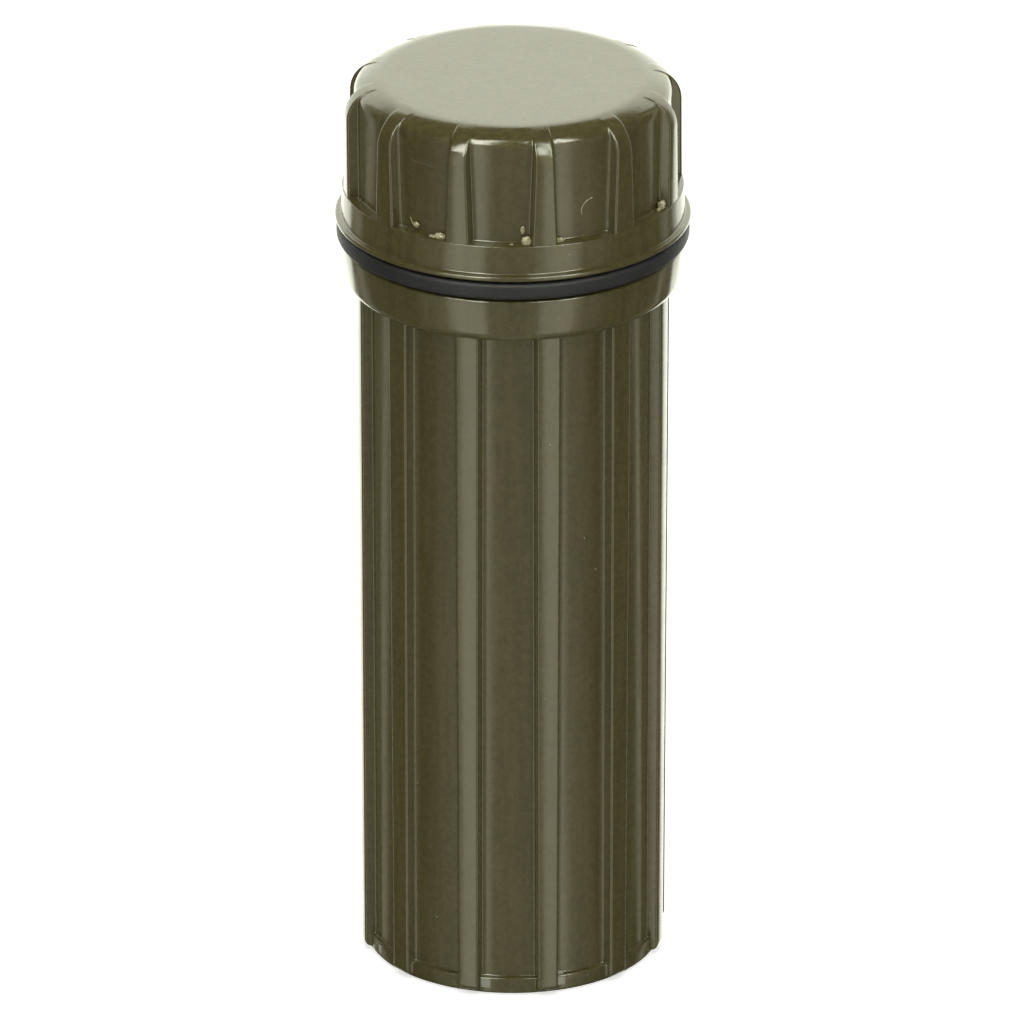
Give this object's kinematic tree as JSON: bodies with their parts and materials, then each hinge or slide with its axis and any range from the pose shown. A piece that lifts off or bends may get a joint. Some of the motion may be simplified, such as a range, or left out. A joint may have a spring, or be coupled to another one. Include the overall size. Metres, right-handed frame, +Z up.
{
  "type": "survival kit capsule",
  "caption": "Ribbed olive plastic capsule with a screw cap and a rubber seal ring, holding a small survival kit with a compass, matches, a candle and a fire rod.",
  "frame": {"origin": "centre of the base, on the surface that the capsule stands on", "axes": "+Z up along the capsule's axis, -Y towards the viewer of the picture"},
  "size_m": [0.04, 0.04, 0.1056],
  "materials": {
    "olive_plastic": "moulded olive plastic, semi-gloss",
    "black_rubber": "matt black rubber",
    "cotton": "pressed cotton wool",
    "candle_wax": "plain white wax",
    "wick_cord": "waxed cotton",
    "compass_brass": "turned brass",
    "dial_card": "pale printed dial",
    "needle_steel": "painted steel",
    "clear_plastic": "clear acrylic",
    "match_wood": "bare pine with a dipped head",
    "pencil_wood": "painted cedar",
    "graphite": "graphite",
    "fire_steel": "dark ferrocerium",
    "grip_plastic": "matt black plastic",
    "steel": "bright steel",
    "guard_card": "brown card",
    "plaster_wrap": "paper-wrapped plaster"
  },
  "bodies": {
    "case": {"capsule_body": "olive_plastic", "tinder_wad": "cotton", "candle": "candle_wax", "candle_wick": "wick_cord", "compass_case": "compass_brass", "compass_dial": "dial_card", "compass_pivot": "steel", "compass_lens": "clear_plastic", "match_1": "match_wood", "match_2": "match_wood", "match_3": "match_wood", "match_4": "match_wood", "match_5": "match_wood", "match_6": "match_wood", "match_7": "match_wood", "match_8": "match_wood", "pencil_barrel": "pencil_wood", "pencil_lead": "graphite", "fire_rod": "fire_steel", "fire_rod_grip": "grip_plastic", "scraper": "steel", "blade": "steel", "blade_guard": "guard_card", "pin_wire_1": "steel", "pin_wire_2": "steel", "pin_clasp_1": "steel", "pin_clasp_2": "steel", "plaster_1": "plaster_wrap", "plaster_2": "plaster_wrap"},
    "seal": {"seal_ring": "black_rubber"},
    "cap": {"cap": "olive_plastic"},
    "needle": {"compass_needle": "needle_steel"}
  },
  "joints": [
    {"name": "cap_turn", "type": "hinge", "parent": "case", "child": "seal", "pos_m": [0, 0, 0.0876], "axis": [0, 0, 1], "range_deg": [0, 1080]},
    {"name": "cap_rise", "type": "slide", "parent": "seal", "child": "cap", "axis": [0, 0, 1], "range_m": [0, 0.0126]},
    {"name": "needle_spin", "type": "hinge", "parent": "case", "child": "needle", "pos_m": [0, 0, 0.0928], "axis": [0, 0, 1], "continuous": true}
  ],
  "couplings": [
    {"joint": "cap_rise", "follows": "cap_turn", "m_per_rad": 0.000668}
  ]
}
